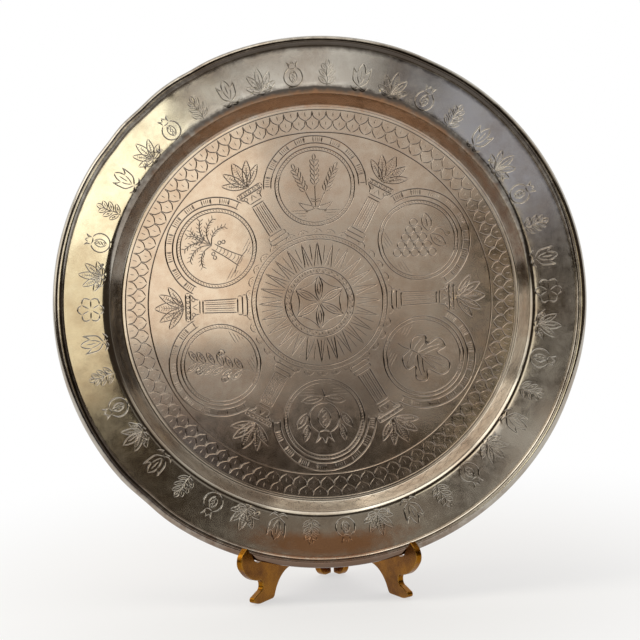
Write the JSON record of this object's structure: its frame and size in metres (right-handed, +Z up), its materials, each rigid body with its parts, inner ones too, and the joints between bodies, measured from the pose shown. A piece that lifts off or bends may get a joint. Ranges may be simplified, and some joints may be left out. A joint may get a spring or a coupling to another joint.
{
  "type": "display plate on a folding easel",
  "caption": "Round engraved metal ritual plate with a broad rim, leaning on a folding brass easel of hinged wings.",
  "frame": {"origin": "on the table, under the middle of the bounding box", "axes": "+Z up, the plate faces -Y and leans back towards +Y, +X to the viewer's right"},
  "size_m": [0.33, 0.0965, 0.3428],
  "materials": {
    "silvered_copper": "satin",
    "steel_wire": "satin",
    "easel_brass": "gloss",
    "pin_brass": "gloss"
  },
  "bodies": {
    "left_wing": {"left_wing": "easel_brass", "lower_hinge_pin": "pin_brass", "upper_hinge_pin": "pin_brass"},
    "right_wing": {"right_wing": "easel_brass"},
    "plate": {"plate": "silvered_copper", "rim_wire": "steel_wire"}
  },
  "joints": [
    {"name": "plate_lift", "type": "slide", "parent": "left_wing", "child": "plate", "axis": [0, 0, 1], "range_m": [0, 0.2]},
    {"name": "wing_fold", "type": "hinge", "parent": "left_wing", "child": "right_wing", "pos_m": [0, 0.03774, 0], "axis": [0, 0, -1], "range_deg": [0, 62.5]}
  ],
  "couplings": [
    {"joint": "wing_fold", "follows": "plate_lift", "rad_per_m": 5.4541}
  ]
}
